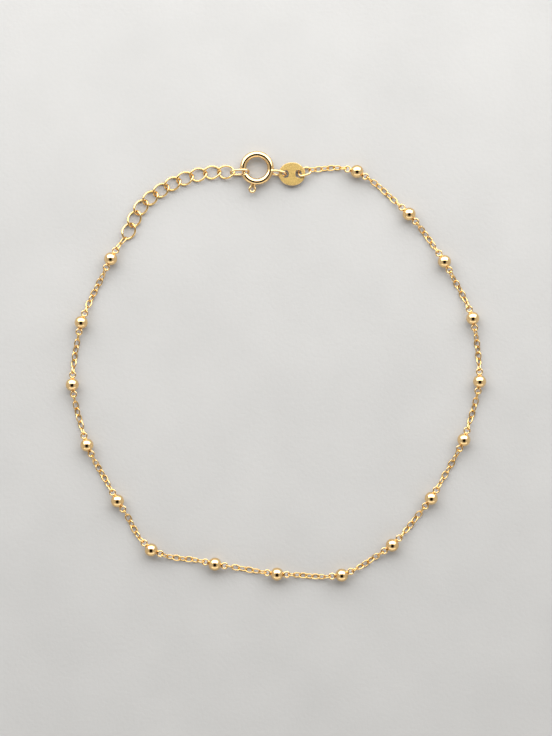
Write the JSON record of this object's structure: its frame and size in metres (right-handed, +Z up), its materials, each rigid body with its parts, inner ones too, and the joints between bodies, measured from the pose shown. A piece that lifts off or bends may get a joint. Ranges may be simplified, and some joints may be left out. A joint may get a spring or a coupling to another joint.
{
  "type": "anklet",
  "caption": "Fine gold ankle chain with round beads at even steps, an oval-link extension chain, a spring ring clasp that opens and a flat oval tag.",
  "frame": {"origin": "under the middle of the loop's bounding box, on the surface that the anklet lies on", "axes": "+Z up from the surface; +Y from the middle of the loop to the clasp's side; +X towards the tag's side of the clasp"},
  "size_m": [0.0798, 0.0818, 0.0025],
  "materials": {
    "gold": "polished",
    "chain_gold": "polished",
    "tag_gold": "satin"
  },
  "bodies": {
    "anklet": {"bead_01": "gold", "bead_02": "gold", "bead_03": "gold", "bead_04": "gold", "bead_05": "gold", "bead_06": "gold", "bead_07": "gold", "bead_08": "gold", "bead_09": "gold", "bead_10": "gold", "bead_11": "gold", "bead_12": "gold", "bead_13": "gold", "bead_14": "gold", "bead_15": "gold", "bead_16": "gold", "bead_17": "gold", "chain_01": "chain_gold", "chain_02": "chain_gold", "chain_03": "chain_gold", "chain_04": "chain_gold", "chain_05": "chain_gold", "chain_06": "chain_gold", "chain_07": "chain_gold", "chain_08": "chain_gold", "chain_09": "chain_gold", "chain_10": "chain_gold", "chain_11": "chain_gold", "chain_12": "chain_gold", "chain_13": "chain_gold", "chain_14": "chain_gold", "chain_15": "chain_gold", "chain_16": "chain_gold", "chain_17": "chain_gold", "chain_18": "chain_gold", "extension_link_01": "gold", "extension_link_02": "gold", "extension_link_03": "gold", "extension_link_04": "gold", "extension_link_05": "gold", "extension_link_06": "gold", "extension_link_07": "gold", "extension_link_08": "gold", "extension_link_09": "gold", "extension_link_10": "gold", "clasp_connector": "gold", "clasp_ring": "gold", "tag": "tag_gold", "tag_ring": "gold"},
    "gate": {"clasp_gate": "gold"}
  },
  "joints": [
    {"name": "clasp_gate_slide", "type": "hinge", "parent": "anklet", "child": "gate", "pos_m": [-0.00362, 0.03769, 0.00116], "axis": [0, 0, 1], "range_deg": [0, 27], "stiffness_Nm_per_rad": 0.003, "springref_deg": -17.19}
  ]
}
